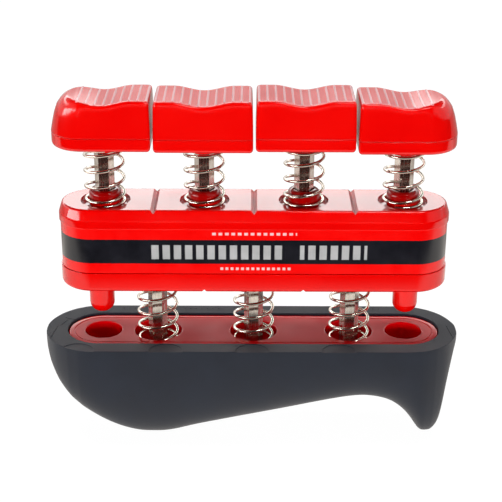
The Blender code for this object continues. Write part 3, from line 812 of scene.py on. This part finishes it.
band_low, band_high = span("label_band")
band = stadium("printed_band", (band_high.x - band_low.x) / 2.0,
               (band_high.y - band_low.y) / 2.0, split + 0.25, label_top - 0.04, body_x)
edit(band)
select_faces(band, lambda co, n: abs(n.z) > 0.9)
bpy.ops.mesh.delete(type="FACE")
done()
modify(band, "SOLIDIFY", thickness=0.35, offset=-1.0)
film = printed_film()
finish_piece(band, "body", film, ["label_band"])


# ---------------------------------------------------------------------------
# Finger buttons. Four red two-part mouldings, a ribbed cap dished for a fingertip
# pressed on a lid, with a hexagonal shaft in the cap's socket. The spring pushes on
# the lid round its short boss. The two outer buttons have a half-round outer end.

half_button = 8.15
inner_end = 12.2
outer_end = 12.7
lid_height = 3.3
button_height = 12.7
button_corner = 0.9
lid_boss = 1.6
cap_roof, post_top = 9.65, 10.3
rib_cuts = (-0.27, 0.27, 1.04)        # a rib's two sides, and the middle of the gap
rib_rise = 0.15
dip_depth, dip_length = 1.2, 15.5
rib_pitch = 25.0 / 12.0
cap_taper = (                 # (share of the height, inset of the sides, of a round end)
    (0.25, 0.04, 0.40), (0.52, 0.09, 1.00), (0.74, 0.14, 1.75), (0.86, 0.18, 2.55),
    (0.93, 0.24, 3.15), (0.965, 0.34, 3.60), (0.987, 0.50, 4.05), (1.0, 0.76, 4.60),
)


def button_block(name, outer, low, high, inset=0.0):
    """Straight block with a button's outline; outer is 0, or 1 with a half-round end."""
    left, right = -inner_end + inset, (outer_end if outer else inner_end) - inset
    bpy.ops.mesh.primitive_cube_add(size=1.0, location=((left + right) / 2.0, 0.0,
                                                        (low + high) / 2.0))
    block = bpy.context.object
    block.scale = (right - left, 2.0 * (half_button - inset), high - low)
    bpy.ops.object.transform_apply(location=True, rotation=True, scale=True)
    block = start(name)
    if outer:
        round_edges(block, half_button - inset - 0.02, 24,
                    lambda a, b, n1, n2: abs(a.z - b.z) > 0.1 and a.x > 0.0)
    for side in (-1.0,) if outer else (-1.0, 1.0):
        round_edges(block, max(button_corner - inset, 0.15), 6,
                    lambda a, b, n1, n2: abs(a.z - b.z) > 0.1 and a.x * side > 0.0
                    and sharp(a, b, n1, n2, 80.0))
    done()
    return block


def dip(x):
    """How far the dished top lies below its highest line."""
    if abs(x) >= dip_length / 2.0:
        return 0.0
    return dip_depth * (1.0 + math.cos(2.0 * math.pi * x / dip_length)) / 2.0


def button_cap(outer):
    low = lid_height + 0.08
    cap = button_block("cap", outer, low, low + 0.3)
    edit(cap)
    select_faces(cap, lambda co, n: n.z > 0.9)
    left, right, wide, level = -inner_end, (outer_end if outer else inner_end), half_button, 0.3
    height = button_height - low
    for share, side, end in cap_taper:
        new_left = -inner_end + side
        new_right = (outer_end - end) if outer else inner_end - side
        new_wide = half_button - side
        bpy.ops.mesh.extrude_region_move(
            TRANSFORM_OT_translate={"value": (0.0, 0.0, share * height - level)})
        factor = (new_right - new_left) / (right - left)
        middle = (new_left - left * factor) / (1.0 - factor)
        bpy.ops.transform.resize(value=(factor, new_wide / wide, 1.0),
                                 center_override=(middle, 0.0, low))
        left, right, wide, level = new_left, new_right, new_wide, share * height
    rib_xs = [rib_pitch * (n + 0.5) for n in range(-5, 5) if rib_pitch * (n + 0.5) < right - 1.5]
    columns = [x + d for x in rib_xs for d in rib_cuts]
    for place in columns:
        if place < right - 0.2:
            bpy.ops.mesh.select_all(action="SELECT")
            bpy.ops.mesh.bisect(plane_co=(place, 0.0, 0.0), plane_no=(1.0, 0.0, 0.0))
    for side in (-1.0, 1.0):
        bpy.ops.mesh.select_all(action="SELECT")
        bpy.ops.mesh.bisect(plane_co=(0.0, side * (half_button - 1.5), 0.0),
                            plane_no=(0.0, 1.0, 0.0))
    bm = bmesh.from_edit_mesh(cap.data)
    sinking = sorted({round(v.co.x, 3) for v in bm.verts
                      if v.co.z > low + 0.7 * height and dip(v.co.x) > 0.001})
    for place in sinking:
        for floor_share, ceiling_share, part in ((0.73, 0.80, 0.35), (0.80, 0.90, 0.8),
                                                 (0.90, 1.1, 1.0)):
            select_points(cap, lambda co: abs(co.x - place) < 0.002
                          and low + floor_share * height < co.z < low + ceiling_share * height)
            bpy.ops.transform.translate(value=(0.0, 0.0, -dip(place) * part))
    for x in rib_xs:
        select_faces(cap, lambda co, n: n.z > 0.9 and abs(co.x - x) < 0.1
                     and abs(co.y) < half_button - 1.6 and co.z > low + 0.8 * height)
        bpy.ops.mesh.inset(thickness=0.07, depth=rib_rise)
    round_edges(cap, 0.14, 3, lambda a, b, n1, n2: max(a.z, b.z) < low + 0.01
                and sharp(a, b, n1, n2, 60.0))
    done()
    carve(cap, button_block("cap_inside", outer, low - 1.0, cap_roof,
                            inset=3.4 if outer else 2.1))
    carve(cap, round_pin("post", socket_flats / math.sqrt(3.0) + 1.54, low, post_top, 0.0),
          "UNION")
    carve(cap, hex_bar("socket", socket_flats, low - 1.0, cap_roof, 0.0))
    return cap


def button_lid(outer):
    lid = button_block("lid", outer, 1.0, lid_height)
    edit(lid)
    select_faces(lid, lambda co, n: n.z < -0.9)
    before = (0.0, 0.0)
    for angle in (18.0, 36.0, 54.0, 72.0, 90.0):
        reach = (0.8 * (1.0 - math.cos(math.radians(angle))),
                 1.0 * math.sin(math.radians(angle)))
        bpy.ops.mesh.inset(thickness=reach[0] - before[0], depth=reach[1] - before[1])
        before = reach
    round_edges(lid, 0.14, 3, lambda a, b, n1, n2: min(a.z, b.z) > lid_height - 0.01
                and sharp(a, b, n1, n2))
    done()
    boss = round_pin("lid_boss", boss_radius, -lid_boss, 1.0, 0.0)
    edit(boss)
    round_edges(boss, 0.3, 3, lambda a, b, n1, n2: max(a.z, b.z) < 0.01 - lid_boss)
    done()
    carve(lid, boss, "UNION")
    carve(lid, button_block("lid_inside", outer, 2.0, lid_height + 1.0, inset=1.7))
    carve(lid, hex_bar("socket", socket_flats, -3.0, lid_height + 1.0, 0.0))
    return lid


def rib_highlight_red():
    """The same red, painted pale along the tops of the ribs as a painted highlight."""
    material = red.copy()
    material.name = "rib_highlight_red"
    tree = material.node_tree
    shader = tree.nodes["Principled BSDF"]
    plain = shader.inputs["Base Color"].links[0].from_socket
    x, y, z = node(tree, "ShaderNodeSeparateXYZ", [(0, coords(tree))]).outputs

    def beyond(value, limit, soft):
        """1 where a value passes its limit, with a soft edge."""
        return remap(tree, value, limit - soft, limit + soft)

    pitch = rib_pitch * MM
    shifted = maths(tree, "ADD", x, -finger_xs[1] * MM + 200.0 * rib_pitch * MM)
    off_middle = maths(tree, "SUBTRACT", maths(tree, "MODULO", shifted, pitch), pitch / 2.0)
    off_rib = beyond(maths(tree, "ABSOLUTE", off_middle), 0.00029, 0.00006)
    off_width = beyond(maths(tree, "ABSOLUTE", y), (half_button - 1.45) * MM, 0.0002)
    off_end = beyond(maths(tree, "ABSOLUTE", maths(tree, "SUBTRACT", x, row_x * MM)),
                     0.0440, 0.0001)
    outside = maths(tree, "MAXIMUM", maths(tree, "MAXIMUM", off_rib, off_width), off_end)
    # Pale pink on the rib tops is a painted highlight.
    painted_highlight = maths(tree, "SUBTRACT", beyond(z, 0.0895, 0.0002), outside, use_clamp=True)
    tone = node(tree, "ShaderNodeMix", [(0, painted_highlight), (6, plain)], data_type="RGBA",
                in_7=(0.92, 0.42, 0.44, 1.0))
    tree.links.new(tone.outputs[2], shader.inputs["Base Color"])
    return material


# Cap material with painted highlights along its rib tops.
highlit_ribs = rib_highlight_red()
cap_plain, cap_round = button_cap(0), button_cap(1)
lid_plain, lid_round = button_lid(0), button_lid(1)
bar_low, bar_high = span("finger_shaft_1")
finger_clip_low, finger_clip_high = span("finger_clip_1")
rest_1 = span("button_lid_1")[0].z + lid_boss
finger_bar = necked_bar("finger_bar", bar_low.z - rest_1, bar_high.z - rest_1,
                        finger_clip_low.z - rest_1 - clip_room,
                        finger_clip_high.z - rest_1 + clip_room)
for number, x in enumerate(finger_xs, 1):
    rest = span("button_lid_%d" % number)[0].z + lid_boss
    outer = number in (1, 4)
    for source, cad, slot in ((cap_round if outer else cap_plain, "button_cap_%d", "red"),
                              (lid_round if outer else lid_plain, "button_lid_%d", "red"),
                              (finger_bar, "finger_shaft_%d", "steel")):
        piece = placed_copy(source, (cad % number).replace("button_", "finger_") + "_look",
                            0.0, rest)
        edit(piece)
        bpy.ops.mesh.select_all(action="SELECT")
        if number == 1 and slot == "red":
            bpy.ops.transform.resize(value=(-1.0, 1.0, 1.0), center_override=(0.0, 0.0, 0.0))
            bpy.ops.mesh.flip_normals()
        bpy.ops.transform.translate(value=(x, 0.0, 0.0))
        done()
        finish_piece(piece, "finger_%d" % number,
                     highlit_ribs if "cap" in cad else red if slot == "red" else steel,
                     [cad % number])
for source in (cap_plain, cap_round, lid_plain, lid_round, finger_bar):
    bpy.data.objects.remove(source, do_unlink=True)


# ---------------------------------------------------------------------------
# Retaining clips. Stamped spring-steel clips snapped into the shafts' necks inside
# the body, phosphated grey.

def clip_steel():
    """Phosphated spring steel: dark grey, finely mottled."""
    material, tree, shader = nodes_of("clip_steel")
    place = coords(tree)
    speck = noise(tree, place, 2500.0, 4.0)
    colour = ramp(tree, speck,
                  [(0.30, (0.09, 0.09, 0.10)), (0.70, (0.17, 0.17, 0.18))])
    rough = ramp(tree, speck, [(0.30, 0.35), (0.70, 0.55)])
    dress(tree, shader, colour, rough)
    shader.inputs["Metallic"].default_value = 0.9
    return material


phosphated = clip_steel()
for name in ["base_clip_%d" % n for n in (1, 2, 3)] + ["finger_clip_%d" % n
                                                      for n in (1, 2, 3, 4)]:
    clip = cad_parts[name]
    for material_slot in clip.material_slots:
        material_slot.material = phosphated


# ---------------------------------------------------------------------------
# Stand, light and camera. A plain pale table in a white studio, lit softly from above,
# in front, behind and both sides. Two more lights only glint on glossy plastic, and
# the room itself shows in reflections alone.

def pale_table():
    """White table, seen plain; in reflections it ends just in front of the object."""
    material, tree, shader = nodes_of("pale_table")
    tree.nodes.remove(shader)
    out = next(n for n in tree.nodes if n.type == "OUTPUT_MATERIAL")
    place = coords(tree)
    tone = noise(tree, place, 6.0, 2.0)
    seen = node(tree, "ShaderNodeBsdfDiffuse",
                [(0, ramp(tree, tone, [(0.3, 0.10), (0.7, 0.11)]))])
    glow = node(tree, "ShaderNodeEmission", in_0=(1.0, 1.0, 1.0, 1.0), in_1=0.97)
    both = node(tree, "ShaderNodeAddShader", [(0, seen.outputs[0]), (1, glow.outputs[0])])
    x, y, z = node(tree, "ShaderNodeSeparateXYZ", [(0, place)]).outputs
    past = remap(tree, maths(tree, "ABSOLUTE", x), 0.105, 1.105, 0.106, -0.312)
    near = remap(tree, maths(tree, "ADD", y, past), -0.012, 0.020, ease="SMOOTHSTEP")
    far = remap(tree, y, 0.08, 0.12, 1.0, 0.4, "SMOOTHSTEP")
    lit = maths(tree, "MULTIPLY", near, far)
    tint = node(tree, "ShaderNodeMix", [(0, lit)], data_type="RGBA",
                in_6=(0.05, 0.020, 0.017, 1.0), in_7=(1.25, 1.17, 1.08, 1.0))
    mirrored = node(tree, "ShaderNodeEmission", [(0, tint.outputs[2])])
    plain = node(tree, "ShaderNodeBsdfDiffuse", in_0=(0.30, 0.29, 0.28, 1.0))
    path = node(tree, "ShaderNodeLightPath")
    mix = node(tree, "ShaderNodeMixShader", [(0, path.outputs["Is Glossy Ray"]),
                                             (1, plain.outputs[0]), (2, mirrored.outputs[0])])
    last = node(tree, "ShaderNodeMixShader", [(0, path.outputs["Is Camera Ray"]),
                                              (1, mix.outputs[0]), (2, both.outputs[0])])
    tree.links.new(last.outputs[0], out.inputs["Surface"])
    return material


bpy.ops.mesh.primitive_plane_add(size=6.0, location=(0.0, 0.0, -0.0003))
bpy.ops.object.transform_apply(location=True, rotation=True, scale=True)
table = bpy.context.object
table.name = "table_top"
table.data.materials.append(pale_table())

world = bpy.data.worlds.new("studio")
bpy.context.scene.world = world
world.use_nodes = True
tree = world.node_tree
tree.nodes.clear()
direction = node(tree, "ShaderNodeTexCoord").outputs["Generated"]
sx, sy, sz = node(tree, "ShaderNodeSeparateXYZ", [(0, direction)]).outputs


def eased(value, low, high, start=0.0, end=1.0):
    """Part of the room that fades from one brightness to another."""
    return remap(tree, value, low, high, start, end, "SMOOTHSTEP")


def combine(operation, a, b):
    return maths(tree, operation, a, b)


behind = eased(sy, -0.10, 0.15)
strip = combine("ADD", eased(sz, 0.297, 0.330, 1.00, 4.6), eased(sz, 0.400, 0.435, 0.0, -4.5))
strip = combine("MULTIPLY", strip, eased(sx, -0.25, 0.30, 1.10, 0.90))
strip = combine("ADD", strip, combine("MULTIPLY", eased(sz, 0.39, 0.44),
                                      eased(sx, -0.12, -0.04, 0.45, 0.12)))
strip = combine("MULTIPLY", strip, eased(sz, 0.55, 0.75, 1.0, 0.15))
back_part = combine("MULTIPLY", behind, strip)
front_part = combine("MULTIPLY", combine("SUBTRACT", 1.0, behind),
                     eased(combine("ABSOLUTE", sx, 0.0), 0.50, 0.80, 0.012, 0.6))
total = combine("ADD", back_part, front_part)
room = node(tree, "ShaderNodeBackground", [(1, total)], in_0=(1.0, 0.985, 0.97, 1.0))
backdrop = node(tree, "ShaderNodeBackground", in_0=(1.0, 1.0, 1.0, 1.0), in_1=1.0)
path = node(tree, "ShaderNodeLightPath")
mix = node(tree, "ShaderNodeMixShader", [(0, path.outputs["Is Camera Ray"]),
                                         (1, room.outputs[0]), (2, backdrop.outputs[0])])
node(tree, "ShaderNodeOutputWorld", [(0, mix.outputs[0])])
world.cycles_visibility.diffuse = False


def soft_light(name, place, target, wide, high, radiance, sheen=False, fill=True):
    """Rectangular soft light aimed at a point; it may light, or only glint."""
    bpy.ops.object.light_add(type="AREA", location=place)
    lamp = bpy.context.object
    lamp.name = name
    lamp.rotation_euler = (Vector(target) - Vector(place)).to_track_quat("-Z", "Y").to_euler()
    lamp.data.shape = "RECTANGLE"
    lamp.data.size, lamp.data.size_y = wide, high
    lamp.data.energy = math.pi * wide * high * radiance
    lamp.visible_camera = False
    lamp.visible_glossy = sheen
    lamp.visible_diffuse = fill
    return lamp


middle = (0.0, 0.0, 0.05)
soft_light("top_fill", (0.0, 0.10, 1.05), middle, 0.9, 0.6, 3.8)
soft_light("front_fill", (-0.10, -1.00, 0.12), middle, 1.5, 0.3, 9.8)
soft_light("back_fill", (0.10, 1.00, 0.30), middle, 1.5, 0.5, 1.6)
soft_light("left_fill", (-1.00, -0.10, 0.30), middle, 0.8, 0.5, 1.4)
soft_light("right_fill", (1.00, -0.10, 0.30), middle, 0.8, 0.5, 1.4)
soft_light("overhead_glint", (0.17, -0.26, 0.62), (0.17, 0.0, 0.06), 0.28, 0.10, 18.0,
           sheen=True, fill=False)
soft_light("left_glint", (-0.83, -0.34, 0.17), middle, 0.75, 0.15, 9.0,
           sheen=True, fill=False)

bpy.context.scene.view_settings.view_transform = "Standard"
bpy.context.scene.view_settings.look = "None"

bpy.ops.object.camera_add()
camera = bpy.context.object
camera.name = "camera"
camera.data.sensor_width = 36.0
camera.data.lens = 94.07
camera_place = (-0.00074, -0.30992, 0.18273)
camera.data.clip_start = 0.01
yaw, pitch, roll = math.radians(-0.095), math.radians(23.08), math.radians(0.25)
camera.matrix_world = (Matrix.Translation(camera_place)
                       @ Matrix.Rotation(yaw, 4, "Z")
                       @ Matrix.Rotation(math.pi / 2.0 - pitch, 4, "X")
                       @ Matrix.Rotation(roll, 4, "Z"))
bpy.context.scene.camera = camera
